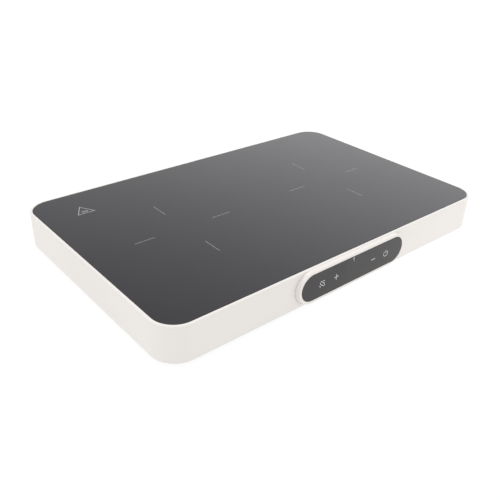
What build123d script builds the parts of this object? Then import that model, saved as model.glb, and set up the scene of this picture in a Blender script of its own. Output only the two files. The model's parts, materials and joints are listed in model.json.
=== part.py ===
from build123d import *
import os
from math import cos, radians, sin, sqrt

# Two-zone electric induction cooktop, modelled in millimetres with +Z up.
# The origin lies on the table under the middle of the cooktop, +X runs to the
# right along the long side, and -Y faces the person who cooks.

os.makedirs("parts", exist_ok=True)

# ---- Casing -----------------------------------------------------------------
casing_length = 600.0
casing_depth = 384.0
corner_radius = 35.6
wall = 2.8
foot_height = 5.0
casing_bottom = foot_height
rim_top = 57.8
rim_width = 3.5
outer_edge_round = 0.7
bottom_edge_round = 0.8
half_depth = casing_depth / 2
half_length = casing_length / 2

# ---- Glass and the ledge that carries it --------------------------------------
glass_gap = 0.2
glass_thickness = 4.0
glass_top = 58.0
glass_bottom = glass_top - glass_thickness
glass_edge_round = 0.8
seal_thickness = 0.5
seal_inset = rim_width + 0.3
ledge_top = glass_bottom - seal_thickness
ledge_thickness = 2.5
ledge_bottom = ledge_top - ledge_thickness
ledge_inset = 16.0

# ---- Base pan and feet --------------------------------------------------------
pan_gap = 0.3
pan_recess = 0.5
pan_thickness = 2.0
pan_bottom = casing_bottom + pan_recess
pan_top = pan_bottom + pan_thickness
pan_lip_thickness = 2.0
pan_lip_height = 6.5
foot_radius = 12.0
foot_stem_radius = 3.0
foot_edge_round = 1.2
foot_ring_radius = 6.0
foot_ring_depth = 1.0
foot_plug_height = 2.5
intake_radius = 37.0
intake_slot_width = 4.0
intake_slot_pitch = 8.0
intake_rows = 4
foot_x = 262.0
foot_y = 155.0

# ---- Fasteners ----------------------------------------------------------------
boss_radius = 5.0
boss_from_wall = 4.6
post_radius = 4.0
long_side_boss_x = 168.0
housing_screw_length = 13.0
screw_shank_radius = 1.45
screw_head_radius = 3.0
screw_head_height = 1.8
small_shank_radius = 1.25
small_hole_radius = 1.3
small_head_radius = 2.8
small_head_height = 1.6
small_screw_length = 5.2
small_hole_depth = 12.0
tray_screw_length = 12.0
fan_screw_bite = 2.2
bite_gap = 0.05
pass_gap = 0.2
sink_gap = 0.1

# ---- Control pod on the front wall --------------------------------------------
pod_length = 209.5
pod_height = 48.0
pod_reach = 6.5
pod_centre_z = casing_bottom + 28.06
pod_top = pod_centre_z + pod_height / 2
pod_face_y = -half_depth - pod_reach
pod_edge_round = 1.1
pod_spread = 1.6
pod_root_length = pod_length + 2 * pod_spread
pod_root_height = pod_height + pod_spread
pod_root_z = pod_top - pod_root_height / 2
groove_width = 0.6
groove_depth = 0.6
groove_top = 54.0
lens_length = 202.0
lens_height = 40.4
lens_gap = 0.15
lens_thickness = 3.0
lens_back_y = pod_face_y + lens_thickness
lens_ledge_width = 5.0
lens_ledge_thickness = 2.0
lens_chamfer = 0.3
carrier_front_y = lens_back_y + lens_ledge_thickness
pod_cavity_length = 200.0
pod_cavity_height = 38.0
carrier_gap = 0.2
carrier_thickness = 2.0
carrier_post_radius = 3.0
carrier_post_length = 4.5
carrier_post_x = 90.0
carrier_post_z = 9.0
touch_board_front_y = carrier_front_y + carrier_thickness + carrier_post_length
touch_board_length = 190.0
touch_board_height = 30.0
board_thickness = 1.6
touch_board_back_y = touch_board_front_y + board_thickness
touch_key_x = (-64.3, -37.2, 37.2, 64.3)
key_opening_radius = 5.0
key_spring_radius = 3.2
key_spring_wire = 0.35
key_spring_turns = 4
display_length = 50.0
display_height = 22.0
display_depth = touch_board_front_y - carrier_front_y - 0.1
digit_count = 4
digit_gap = 3.0
digit_margin = 3.0
digit_depth = 1.5

# ---- Cooking zones --------------------------------------------------------------
zone_x = 143.0
zone_y = -3.5
tray_size = 190.0
tray_thickness = 1.5
tray_bottom = 42.0
tray_top = tray_bottom + tray_thickness
tray_corner_radius = 8.0
tray_flange_height = 6.0
tray_flange_inset = 20.0
tray_post_offset = 86.0
ferrite_thickness = 4.0
ferrite_inner = 33.0
ferrite_outer = 85.0
ferrite_width = 10.0
ferrite_count = 8
former_bottom = tray_top + ferrite_thickness
former_thickness = 2.0
former_top = former_bottom + former_thickness
former_radius = 93.0
former_rim = 2.0
former_rim_height = 3.0
former_window_at = 58.0
former_window_length = 46.0
former_window_width = 7.0
sensor_cup_radius = 10.0
sensor_cup_wall = 1.5
sensor_radius = 7.0
sensor_height = 3.0
sensor_stem_radius = 2.0
sensor_stem_length = 5.0
sensor_spring_radius = 5.0
sensor_spring_wire = 0.5
sensor_spring_length = glass_bottom - sensor_height - (tray_top + sensor_cup_wall)
wire_radius = 1.6
winding_pitch = 4.4
winding_inner = 24.0
winding_half_turns = 28
winding_outer = winding_inner + winding_half_turns * winding_pitch / 2
winding_z = former_top + wire_radius
mica_bottom = former_top + 2 * wire_radius
mica_thickness = 0.5
lead_radius = 1.5
inner_lead_drop = 5.0
outer_lead_exit = 18.0
lead_turn_y = -112.0
lead_low_z = 21.0
lead_end_y = -74.0

# ---- Circuit boards -------------------------------------------------------------
board_bottom = 12.0
board_top = board_bottom + board_thickness
power_board_length = 158.0
power_board_depth = 155.0
power_board_y = -2.5
board_hole_inset = 6.0
board_post_radius = 3.5
filter_board_length = 70.0
filter_board_depth = 80.0
filter_board_y = 135.0
filter_hole_inset = 5.0

# ---- Parts on the filter board, placed by x and y ----------------------------------
terminal_y = 165.0
terminal_length = 32.0
terminal_depth = 12.0
terminal_height = 13.0
terminal_count = 3
terminal_pitch = 10.0
terminal_screw_radius = 2.6
terminal_screw_depth = 6.0
terminal_wire_radius = 2.4
terminal_wire_depth = 7.0
terminal_wire_height = 4.5
line_capacitor_at = (12.0, 140.0)
line_capacitor_size = (26.0, 12.0, 18.0)
filter_choke_at = (10.0, 115.0)
filter_choke_size = (13.0, 6.0, 12.0)
fuse_x = -22.0
fuse_y = 122.0
fuse_length = 20.0
fuse_height = 4.0
fuse_radius = 2.6
fuse_cap_radius = 3.2
fuse_cap_length = 5.0
buzzer_at = (-22.0, 151.0)
buzzer_radius = 6.0
buzzer_height = 9.0
mains_lead_radius = 1.2
mains_lead_z = 24.0
mains_lead_start_y = 98.0
mains_lead_end_x = 72.0
mains_lead_runs = ((22.0, 62.0), (15.0, 55.0))
control_cable_radius = 2.0
control_cable_x = -40.0

# ---- Parts on each power board, placed by u, which runs outwards, and y ---------------
heat_sink_length = 80.0
heat_sink_depth = 45.0
heat_sink_height = 22.0
heat_sink_base = 4.0
heat_sink_u = 28.0
heat_sink_y = 47.5
fin_thickness = 1.6
fin_count = 11
transistor_u = (12.0, 48.0)
transistor_width = 15.6
transistor_thickness = 5.0
transistor_height = 18.0
transistor_lift = 3.0
transistor_leg_pitch = 5.4
film_capacitor_u = -50.0
film_capacitor_y = (-2.0, 20.0)
film_capacitor_size = (32.0, 15.0, 22.0)
choke_u = -48.0
choke_y = -46.0
choke_size = (18.0, 9.0, 15.0)

# ---- Fans -------------------------------------------------------------------------
fan_x = 212.0
fan_y = 136.0
fan_size = 80.0
fan_height = 20.0
fan_bottom = 8.5
fan_top = fan_bottom + fan_height
fan_bore_radius = 38.5
fan_hole_offset = 35.75
hub_radius = 16.5
hub_wall = 2.5
hub_lid = 2.0
hub_bottom = 11.3
hub_top = 25.5
shaft_radius = 1.5
bearing_clearance = 0.05
bearing_outer = 3.0
bearing_tube_outer = 4.5
bearing_tube_top = 21.0
fan_plate = 2.0
fan_strut_width = 3.0
bearing_bottom = fan_bottom + fan_plate + 0.5
bearing_top = bearing_tube_top - 0.2
shaft_bottom = hub_bottom + 1.0
shaft_top = hub_top - 1.0
stator_bottom = 12.0
stator_height = 6.5
stator_radius = 12.5
blade_count = 7
blade_middle_z = 18.6
blade_root = 15.0
blade_root_chord = 13.0
blade_root_thickness = 1.6
blade_root_pitch = 45
blade_tip = 36.2
blade_tip_chord = 19.0
blade_tip_thickness = 1.2
blade_tip_pitch = 32

# ---- Rear wall ----------------------------------------------------------------------
exhaust_slot_width = 3.2
exhaust_slot_height = 26.0
exhaust_slot_pitch = 7.0
exhaust_slot_count = 14
exhaust_first_x = 60.0
exhaust_centre_z = 31.0
gland_z = 26.0
gland_hole_radius = 9.0
gland_bore_radius = 4.3
gland_reach = pod_reach
gland_collar_radius = 11.0
gland_mouth_radius = 8.6
gland_mouth_round = 1.2
gland_clip_radius = 10.5
gland_clip_thickness = 2.2
gland_tail_radius = 7.0
gland_tail_length = 3.0
gland_tail_y = half_depth - wall - gland_clip_thickness - gland_tail_length


def casing_outline(inset, mode=Mode.ADD):
    """The casing's rounded rectangle, moved inwards by inset."""
    RectangleRounded(
        casing_length - 2 * inset, casing_depth - 2 * inset, corner_radius - inset, mode=mode
    )


def front_plane(y, z=pod_centre_z):
    """A plane that faces the front, with its own y axis upwards, at the pod's height."""
    return Plane(origin=(0, y, z), x_dir=(1, 0, 0), z_dir=(0, -1, 0))


def rear_plane(y, z):
    """A plane that faces the rear, with its own y axis upwards."""
    return Plane(origin=(0, y, z), x_dir=(-1, 0, 0), z_dir=(0, 1, 0))


def four_corners(centre_x, centre_y, half_x, half_y, z):
    """The four corners of a rectangle at height z."""
    return [
        (centre_x + side_x * half_x, centre_y + side_y * half_y, z)
        for side_x in (-1, 1)
        for side_y in (-1, 1)
    ]


def save(builder, label):
    """Give a finished piece its name and write it."""
    builder.part.label = label
    export_step(builder.part, f"parts/{label}.step")


def tube(points, bends, radius):
    """A round wire along straight runs joined by tangent arcs."""
    with BuildPart() as wire:
        with BuildLine() as route:
            FilletPolyline(*points, radius=bends)
        with BuildSketch(Plane(origin=route.line @ 0, z_dir=route.line % 0)):
            Circle(radius)
        sweep(path=route.line)
    return wire.part


def pan_head_screw(head_radius, head_height, shank_radius, shank_length):
    """A screw that points down, with the underside of its head at the origin."""
    recess_length = head_radius * 1.1
    recess_width = head_radius * 0.28
    with BuildPart() as screw:
        Cylinder(head_radius, head_height, align=(Align.CENTER, Align.CENTER, Align.MIN))
        fillet(screw.edges().group_by(Axis.Z)[-1], head_height * 0.4)
        Cylinder(shank_radius, shank_length, align=(Align.CENTER, Align.CENTER, Align.MAX))
        with BuildSketch(Plane.XY.offset(head_height)):
            Rectangle(recess_length, recess_width)
            Rectangle(recess_width, recess_length)
        extrude(amount=-head_height / 2, mode=Mode.SUBTRACT)
    return screw.part


def countersunk_screw(head_radius, shank_radius, length):
    """A screw that points up, with the flat of its head at the origin."""
    cone_height = head_radius - shank_radius
    recess_length = head_radius * 1.1
    recess_width = head_radius * 0.28
    bottom = (Align.CENTER, Align.CENTER, Align.MIN)
    with BuildPart() as screw:
        Cone(head_radius, shank_radius, cone_height, align=bottom)
        Cylinder(shank_radius, length, align=bottom)
        with BuildSketch():
            Rectangle(recess_length, recess_width)
            Rectangle(recess_width, recess_length)
        extrude(amount=cone_height / 2, mode=Mode.SUBTRACT)
    return screw.part


def coil_spring(radius, wire, length, turns):
    """A compression spring that stands on the XY plane, length over its wire."""
    rise = length - 2 * wire
    with BuildPart() as spring:
        with BuildLine() as coil:
            Helix(pitch=rise / turns, height=rise, radius=radius, center=(0, 0, wire))
        with BuildSketch(Plane(origin=coil.line @ 0, z_dir=coil.line % 0)):
            Circle(wire)
        sweep(path=coil.line, is_frenet=True)
    return spring.part


# ---- Places shared by several pieces --------------------------------------------------
corner_boss_reach = (corner_radius - wall - boss_from_wall) * cos(radians(45))
corner_boss_x = half_length - corner_radius + corner_boss_reach
corner_boss_y = half_depth - corner_radius + corner_boss_reach
side_boss_y = half_depth - wall - boss_from_wall
end_boss_x = half_length - wall - boss_from_wall
boss_points = (
    four_corners(0, 0, corner_boss_x, corner_boss_y, pan_top)
    + four_corners(0, 0, long_side_boss_x, side_boss_y, pan_top)
    + [(-end_boss_x, 0, pan_top), (end_boss_x, 0, pan_top)]
)
foot_points = {
    "front_left": (-foot_x, -foot_y, 0),
    "front_right": (foot_x, -foot_y, 0),
    "rear_left": (-foot_x, foot_y, 0),
    "rear_right": (foot_x, foot_y, 0),
}
sides = {"left": -1, "right": 1}


def tray_posts(side, z):
    """Where the coil tray on one side is screwed down."""
    return four_corners(side * zone_x, zone_y, tray_post_offset, tray_post_offset, z)


def power_board_posts(side, z):
    """Where the power board on one side is screwed down."""
    half_x = power_board_length / 2 - board_hole_inset
    half_y = power_board_depth / 2 - board_hole_inset
    return four_corners(side * zone_x, power_board_y, half_x, half_y, z)


def filter_board_posts(z):
    """Where the mains filter board is screwed down."""
    half_x = filter_board_length / 2 - filter_hole_inset
    half_y = filter_board_depth / 2 - filter_hole_inset
    return four_corners(0, filter_board_y, half_x, half_y, z)


def fan_posts(side, z):
    """Where the fan on one side is screwed down."""
    return four_corners(side * fan_x, fan_y, fan_hole_offset, fan_hole_offset, z)


on_floor = (Align.CENTER, Align.CENTER, Align.MIN)
hanging = (Align.CENTER, Align.CENTER, Align.MAX)

# ---- Control pod, a little wider at its root than at its face -----------------------------
with BuildPart() as pod:
    with BuildSketch(front_plane(-half_depth, pod_root_z)):
        SlotOverall(pod_root_length, pod_root_height)
    with BuildSketch(front_plane(pod_face_y)):
        SlotOverall(pod_length, pod_height)
    loft(ruled=True)
    fillet(pod.edges().group_by(Axis.Y)[0], pod_edge_round)
    with BuildSketch(front_plane(-half_depth + wall, pod_root_z)):
        SlotOverall(pod_root_length, pod_root_height)
    extrude(amount=wall)

# ---- Upper housing: side walls, rim, glass ledge, control pod and screw bosses ------------
with BuildPart() as upper_housing:
    with BuildSketch(Plane.XY.offset(casing_bottom)):
        casing_outline(0)
    extrude(amount=rim_top - casing_bottom)
    fillet(upper_housing.edges().group_by(Axis.Z)[-1], outer_edge_round)
    fillet(upper_housing.edges().group_by(Axis.Z)[0], bottom_edge_round)

    # The pod stands out of the front wall, inside a fine groove that ends below the rim.
    with BuildSketch(front_plane(-half_depth, pod_root_z)):
        SlotOverall(pod_root_length + 2 * groove_width, pod_root_height + 2 * groove_width)
        with Locations((0, groove_top - pod_root_z)):
            Rectangle(
                casing_length,
                casing_depth,
                align=(Align.CENTER, Align.MIN),
                mode=Mode.SUBTRACT,
            )
    extrude(amount=-groove_depth, mode=Mode.SUBTRACT)
    add(pod.part)

    # The inside is open from below, up to the ledge under the glass.
    with BuildSketch(Plane.XY.offset(casing_bottom)):
        casing_outline(wall)
    extrude(amount=ledge_bottom - casing_bottom, mode=Mode.SUBTRACT)
    with BuildSketch(Plane.XY.offset(ledge_bottom)):
        casing_outline(ledge_inset)
    extrude(amount=rim_top - ledge_bottom, mode=Mode.SUBTRACT)
    with BuildSketch(Plane.XY.offset(ledge_top)):
        casing_outline(rim_width)
    extrude(amount=rim_top - ledge_top, mode=Mode.SUBTRACT)

    # Screw bosses hang from the ledge down to the base pan.
    with Locations(*boss_points):
        Cylinder(boss_radius, ledge_bottom - pan_top, align=on_floor)
        Cylinder(
            screw_shank_radius + bite_gap,
            housing_screw_length,
            align=on_floor,
            mode=Mode.SUBTRACT,
        )

    # Pocket for the lens, the window behind it, and the hollow of the pod.
    with BuildSketch(front_plane(pod_face_y)):
        SlotOverall(lens_length + 2 * lens_gap, lens_height + 2 * lens_gap)
    extrude(amount=-lens_thickness, mode=Mode.SUBTRACT)
    with BuildSketch(front_plane(lens_back_y)):
        SlotOverall(lens_length - 2 * lens_ledge_width, lens_height - 2 * lens_ledge_width)
    extrude(amount=-lens_ledge_thickness, mode=Mode.SUBTRACT)
    with BuildSketch(front_plane(carrier_front_y)):
        SlotOverall(pod_cavity_length, pod_cavity_height)
    extrude(amount=carrier_front_y + half_depth - wall, mode=Mode.SUBTRACT)

    # Exhaust slots and the hole for the cable gland in the rear wall.
    with BuildSketch(rear_plane(half_depth, exhaust_centre_z)):
        for side in sides.values():
            for step in range(exhaust_slot_count):
                with Locations((side * (exhaust_first_x + step * exhaust_slot_pitch), 0)):
                    SlotOverall(exhaust_slot_height, exhaust_slot_width, rotation=90)
    extrude(amount=-wall, mode=Mode.SUBTRACT)
    with BuildSketch(rear_plane(half_depth, gland_z)):
        Circle(gland_hole_radius)
    extrude(amount=-wall, mode=Mode.SUBTRACT)
save(upper_housing, "upper_housing")

# ---- Glass-ceramic plate ----------------------------------------------------------------
with BuildPart() as glass_plate:
    with BuildSketch(Plane.XY.offset(glass_bottom)):
        casing_outline(rim_width + glass_gap)
    extrude(amount=glass_thickness)
    fillet(glass_plate.edges().group_by(Axis.Z)[-1], glass_edge_round)
save(glass_plate, "glass_plate")

# ---- Silicone seal under the edge of the glass --------------------------------------------
with BuildPart() as glass_seal:
    with BuildSketch(Plane.XY.offset(ledge_top)):
        casing_outline(seal_inset)
        casing_outline(ledge_inset - 1, mode=Mode.SUBTRACT)
    extrude(amount=seal_thickness)
save(glass_seal, "glass_seal")

# ---- Base pan: floor, lip, posts, air intakes and screw holes -------------------------------
with BuildPart() as base_pan:
    with BuildSketch(Plane.XY.offset(pan_bottom)):
        casing_outline(wall + pan_gap)
    extrude(amount=pan_thickness)
    with BuildSketch(Plane.XY.offset(pan_top)):
        casing_outline(wall + pan_gap)
        casing_outline(wall + pan_gap + pan_lip_thickness, mode=Mode.SUBTRACT)
    extrude(amount=pan_lip_height)

    # The lip is notched round each boss, and the floor is countersunk under it.
    with Locations(*boss_points):
        Cylinder(boss_radius + pan_gap, pan_lip_height, align=on_floor, mode=Mode.SUBTRACT)
        Cylinder(screw_shank_radius + sink_gap, pan_thickness, align=hanging, mode=Mode.SUBTRACT)
    with Locations(*[(x, y, pan_bottom) for x, y, z in boss_points]):
        Cone(
            screw_head_radius + sink_gap,
            screw_shank_radius + sink_gap,
            screw_head_radius - screw_shank_radius,
            align=on_floor,
            mode=Mode.SUBTRACT,
        )

    # Posts for the coil trays, the boards and the fans, each with its screw hole.
    for side in sides.values():
        with Locations(*tray_posts(side, pan_top)):
            Cylinder(post_radius, tray_bottom - pan_top, align=on_floor)
        with Locations(*tray_posts(side, tray_bottom)):
            Cylinder(small_hole_radius, small_hole_depth, align=hanging, mode=Mode.SUBTRACT)
        with Locations(*power_board_posts(side, pan_top)):
            Cylinder(board_post_radius, board_bottom - pan_top, align=on_floor)
            Cylinder(small_hole_radius, board_bottom - pan_top, align=on_floor, mode=Mode.SUBTRACT)
        with Locations(*fan_posts(side, pan_top)):
            Cylinder(post_radius, fan_bottom - pan_top, align=on_floor)
        with Locations(*fan_posts(side, fan_bottom)):
            Cylinder(
                screw_shank_radius + bite_gap,
                fan_screw_bite + bite_gap,
                align=hanging,
                mode=Mode.SUBTRACT,
            )
    with Locations(*filter_board_posts(pan_top)):
        Cylinder(board_post_radius, board_bottom - pan_top, align=on_floor)
        Cylinder(small_hole_radius, board_bottom - pan_top, align=on_floor, mode=Mode.SUBTRACT)

    # Air intake slots under each fan, and the holes that hold the feet.
    for side in sides.values():
        with BuildSketch(Plane.XY.offset(pan_bottom)):
            for row in range(-intake_rows, intake_rows + 1):
                row_y = row * intake_slot_pitch
                row_length = 2 * sqrt(intake_radius**2 - row_y**2)
                with Locations((side * fan_x, fan_y + row_y)):
                    SlotOverall(row_length, intake_slot_width)
        extrude(amount=pan_thickness, mode=Mode.SUBTRACT)
    with Locations(*[(x, y, pan_bottom) for x, y, z in foot_points.values()]):
        Cylinder(foot_stem_radius + bite_gap, pan_thickness, align=on_floor, mode=Mode.SUBTRACT)
save(base_pan, "base_pan")

# ---- Rubber feet, pushed through the pan -----------------------------------------------------
for place, point in foot_points.items():
    with BuildPart() as foot:
        with Locations(point):
            Cylinder(foot_radius, pan_bottom, align=on_floor)
        fillet(foot.edges().group_by(Axis.Z)[0], foot_edge_round)
        with Locations(point):
            Cylinder(foot_ring_radius, foot_ring_depth, align=on_floor, mode=Mode.SUBTRACT)
        with Locations((point[0], point[1], pan_bottom)):
            Cylinder(foot_stem_radius, pan_thickness, align=on_floor)
        with Locations((point[0], point[1], pan_top)):
            Cone(foot_stem_radius + 1, foot_stem_radius - 0.5, foot_plug_height, align=on_floor)
    save(foot, f"foot_{place}")

# ---- Screws that hold the pan to the housing -------------------------------------------------
housing_screw = countersunk_screw(screw_head_radius, screw_shank_radius, housing_screw_length)
with BuildPart() as housing_screws:
    with Locations(*[(x, y, pan_bottom) for x, y, z in boss_points]):
        add(housing_screw)
save(housing_screws, "housing_screws")

# ---- Control lens ----------------------------------------------------------------------------
with BuildPart() as control_lens:
    with BuildSketch(front_plane(lens_back_y)):
        SlotOverall(lens_length, lens_height)
    extrude(amount=lens_thickness)
    chamfer(control_lens.edges().group_by(Axis.Y)[0], lens_chamfer)
save(control_lens, "control_lens")

# ---- Carrier behind the lens, with openings for the keys and the display ---------------------
with BuildPart() as touch_carrier:
    with BuildSketch(front_plane(carrier_front_y)):
        SlotOverall(pod_cavity_length - 2 * carrier_gap, pod_cavity_height - 2 * carrier_gap)
        with Locations(*[(x, 0) for x in touch_key_x]):
            Circle(key_opening_radius, mode=Mode.SUBTRACT)
        Rectangle(display_length + 2, display_height + 2, mode=Mode.SUBTRACT)
    extrude(amount=-carrier_thickness)
    with BuildSketch(front_plane(carrier_front_y + carrier_thickness)):
        with GridLocations(2 * carrier_post_x, 2 * carrier_post_z, 2, 2):
            Circle(carrier_post_radius)
    extrude(amount=-carrier_post_length)
    with BuildSketch(front_plane(touch_board_front_y)):
        with GridLocations(2 * carrier_post_x, 2 * carrier_post_z, 2, 2):
            Circle(small_hole_radius)
    extrude(amount=carrier_post_length, mode=Mode.SUBTRACT)
save(touch_carrier, "touch_carrier")

# ---- Touch board and display -----------------------------------------------------------------
with BuildPart() as touch_board:
    with BuildSketch(front_plane(touch_board_front_y)):
        RectangleRounded(touch_board_length, touch_board_height, 2)
        with GridLocations(2 * carrier_post_x, 2 * carrier_post_z, 2, 2):
            Circle(small_shank_radius + pass_gap, mode=Mode.SUBTRACT)
    extrude(amount=-board_thickness)
save(touch_board, "touch_board")

digit_pitch = display_length / digit_count
with BuildPart() as display_module:
    with BuildSketch(front_plane(touch_board_front_y)):
        RectangleRounded(display_length, display_height, 1)
    extrude(amount=display_depth)
    with BuildSketch(front_plane(touch_board_front_y - display_depth)):
        with GridLocations(digit_pitch, 0, digit_count, 1):
            RectangleRounded(digit_pitch - digit_gap, display_height - 2 * digit_margin, 1)
    extrude(amount=-digit_depth, mode=Mode.SUBTRACT)
save(display_module, "display_module")

# ---- Springs that carry each touch key from the board to the lens ----------------------------
key_spring = coil_spring(
    key_spring_radius, key_spring_wire, touch_board_front_y - lens_back_y, key_spring_turns
)
with BuildPart() as touch_springs:
    with Locations(
        *[Location((x, touch_board_front_y, pod_centre_z), (90, 0, 0)) for x in touch_key_x]
    ):
        add(key_spring)
save(touch_springs, "touch_springs")

# ---- Screws of the boards, all of one kind ---------------------------------------------------
small_screw = pan_head_screw(
    small_head_radius, small_head_height, small_shank_radius, small_screw_length
)
with BuildPart() as board_screws:
    for side in sides.values():
        with Locations(*power_board_posts(side, board_top)):
            add(small_screw)
    with Locations(*filter_board_posts(board_top)):
        add(small_screw)
    with Locations(
        *[
            Location((x, y, pod_centre_z + z), (-90, 0, 0))
            for x, z, y in four_corners(0, 0, carrier_post_x, carrier_post_z, touch_board_back_y)
        ]
    ):
        add(small_screw)
save(board_screws, "board_screws")

# ---- Cable gland in the rear wall ------------------------------------------------------------
with BuildPart() as cable_gland:
    with BuildSketch(rear_plane(half_depth, gland_z)):
        Circle(gland_collar_radius)
    with BuildSketch(rear_plane(half_depth + gland_reach, gland_z)):
        Circle(gland_mouth_radius)
    loft()
    fillet(cable_gland.edges().group_by(Axis.Y)[-1], gland_mouth_round)
    with BuildSketch(rear_plane(half_depth - wall, gland_z)):
        Circle(gland_hole_radius - sink_gap)
    extrude(amount=wall)
    with BuildSketch(rear_plane(half_depth - wall - gland_clip_thickness, gland_z)):
        Circle(gland_clip_radius)
    extrude(amount=gland_clip_thickness)
    with BuildSketch(rear_plane(gland_tail_y, gland_z)):
        Circle(gland_tail_radius)
    extrude(amount=gland_tail_length)
    with BuildSketch(rear_plane(gland_tail_y, gland_z)):
        Circle(gland_bore_radius)
    extrude(amount=half_depth + gland_reach - gland_tail_y, mode=Mode.SUBTRACT)
save(cable_gland, "cable_gland")

# ---- Mains filter board and what stands on it ------------------------------------------------
with BuildPart() as filter_board:
    with BuildSketch(Plane.XY.offset(board_bottom)):
        with Locations((0, filter_board_y)):
            RectangleRounded(filter_board_length, filter_board_depth, 2)
        with Locations(*[(x, y) for x, y, z in filter_board_posts(0)]):
            Circle(small_shank_radius + pass_gap, mode=Mode.SUBTRACT)
    extrude(amount=board_thickness)
save(filter_board, "filter_board")

with BuildPart() as terminal_block:
    with Locations((0, terminal_y, board_top)):
        Box(terminal_length, terminal_depth, terminal_height, align=on_floor)
    with BuildSketch(Plane.XY.offset(board_top + terminal_height)):
        with Locations((0, terminal_y)):
            with GridLocations(terminal_pitch, 0, terminal_count, 1):
                Circle(terminal_screw_radius)
    extrude(amount=-terminal_screw_depth, mode=Mode.SUBTRACT)
    terminal_rear = rear_plane(terminal_y + terminal_depth / 2, board_top + terminal_wire_height)
    with BuildSketch(terminal_rear):
        with GridLocations(terminal_pitch, 0, terminal_count, 1):
            Circle(terminal_wire_radius)
    extrude(amount=-terminal_wire_depth, mode=Mode.SUBTRACT)
save(terminal_block, "terminal_block")

with BuildPart() as filter_capacitor:
    with Locations((*line_capacitor_at, board_top)):
        Box(*line_capacitor_size, align=on_floor)
    fillet(filter_capacitor.edges().filter_by(Axis.Z), 1.5)
    fillet(filter_capacitor.edges().group_by(Axis.Z)[-1], 0.8)
save(filter_capacitor, "filter_capacitor")


def toroid(place, outer, inner, height):
    """A wound ring core that lies flat on its board."""
    with BuildPart() as ring:
        with BuildSketch(Plane.XY.offset(board_top)):
            with Locations(place):
                Circle(outer)
                Circle(inner, mode=Mode.SUBTRACT)
        extrude(amount=height)
        fillet(ring.edges(), min(height, outer - inner) * 0.3)
    return ring


save(toroid(filter_choke_at, *filter_choke_size), "filter_choke")

# A glass fuse between two caps, each on a block of its holder.
fuse_ends = (fuse_y - fuse_length / 2, fuse_y + fuse_length / 2 - fuse_cap_length)
with BuildPart() as fuse:
    with BuildSketch(rear_plane(fuse_ends[0], board_top + fuse_height)):
        with Locations((-fuse_x, 0)):
            Circle(fuse_radius)
    extrude(amount=fuse_length)
    for end_y in fuse_ends:
        with BuildSketch(rear_plane(end_y, board_top + fuse_height)):
            with Locations((-fuse_x, 0)):
                Circle(fuse_cap_radius)
        extrude(amount=fuse_cap_length)
        with Locations((fuse_x, end_y + fuse_cap_length / 2, board_top)):
            Box(4, 3, fuse_height / 2, align=on_floor)
save(fuse, "fuse")

with BuildPart() as buzzer:
    with Locations((*buzzer_at, board_top)):
        Cylinder(buzzer_radius, buzzer_height, align=on_floor)
    fillet(buzzer.edges().group_by(Axis.Z)[-1], 0.8)
    with Locations((*buzzer_at, board_top + buzzer_height)):
        Cylinder(1, 2, align=hanging, mode=Mode.SUBTRACT)
save(buzzer, "buzzer")

# ---- Leads from the filter board to both power boards ----------------------------------------
mains_routes = []
for side in sides.values():
    for start_x, run_y in mains_lead_runs:
        mains_routes.append(
            [
                (side * start_x, mains_lead_start_y, board_top),
                (side * start_x, mains_lead_start_y, mains_lead_z),
                (side * start_x, run_y, mains_lead_z),
                (side * mains_lead_end_x, run_y, mains_lead_z),
                (side * mains_lead_end_x, run_y, board_top),
            ]
        )
mains_wires = [tube(route, [4, 6, 6], mains_lead_radius) for route in mains_routes]
with BuildPart() as mains_leads:
    add(mains_wires)
save(mains_leads, "mains_leads")

# ---- Cable from the touch board to the filter board ------------------------------------------
control_route = [
    (control_cable_x, touch_board_back_y, 28),
    (control_cable_x, -166, 28),
    (control_cable_x, -150, board_bottom),
    (control_cable_x, 112, board_bottom),
    (control_cable_x, 112, 24),
    (control_cable_x + 11, 112, 24),
    (control_cable_x + 11, 112, board_top),
]
control_wire = tube(control_route, [8, 8, 4, 4, 4], control_cable_radius)
with BuildPart() as control_cable:
    add(control_wire)
save(control_cable, "control_cable")

# ---- Screws of the coil trays and of the fans ------------------------------------------------
tray_screw = pan_head_screw(
    screw_head_radius, screw_head_height, small_shank_radius, tray_screw_length
)
with BuildPart() as tray_screws:
    for side in sides.values():
        with Locations(*tray_posts(side, tray_top)):
            add(tray_screw)
save(tray_screws, "tray_screws")

fan_screw = pan_head_screw(
    screw_head_radius, screw_head_height, screw_shank_radius, fan_height + fan_screw_bite
)
with BuildPart() as fan_screws:
    for side in sides.values():
        with Locations(*fan_posts(side, fan_top)):
            add(fan_screw)
save(fan_screws, "fan_screws")


# ---- Cooking zone: tray, ferrite bars, former, winding, mica, sensor and leads ---------------
def make_coil_tray(side, centre):
    with BuildPart() as tray:
        with BuildSketch(Plane.XY.offset(tray_bottom)):
            with Locations(centre):
                RectangleRounded(tray_size, tray_size, tray_corner_radius)
                Circle(3, mode=Mode.SUBTRACT)
            with Locations(*[(x, y) for x, y, z in tray_posts(side, 0)]):
                Circle(small_shank_radius + pass_gap, mode=Mode.SUBTRACT)
        extrude(amount=tray_thickness)
        # A folded flange stiffens two edges.
        with Locations((centre[0], centre[1], tray_bottom)):
            with GridLocations(tray_size - tray_thickness, 0, 2, 1):
                Box(
                    tray_thickness,
                    tray_size - 2 * tray_flange_inset,
                    tray_flange_height,
                    align=hanging,
                )
    return tray


def make_ferrite_bars(centre):
    bar_length = ferrite_outer - ferrite_inner
    with BuildPart() as bars:
        with Locations((centre[0], centre[1], tray_top)):
            with PolarLocations(
                (ferrite_inner + ferrite_outer) / 2,
                ferrite_count,
                start_angle=180 / ferrite_count,
            ):
                Box(bar_length, ferrite_width, ferrite_thickness, align=on_floor)
        chamfer(bars.edges().filter_by(Axis.Z), 0.6)
    return bars


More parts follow.
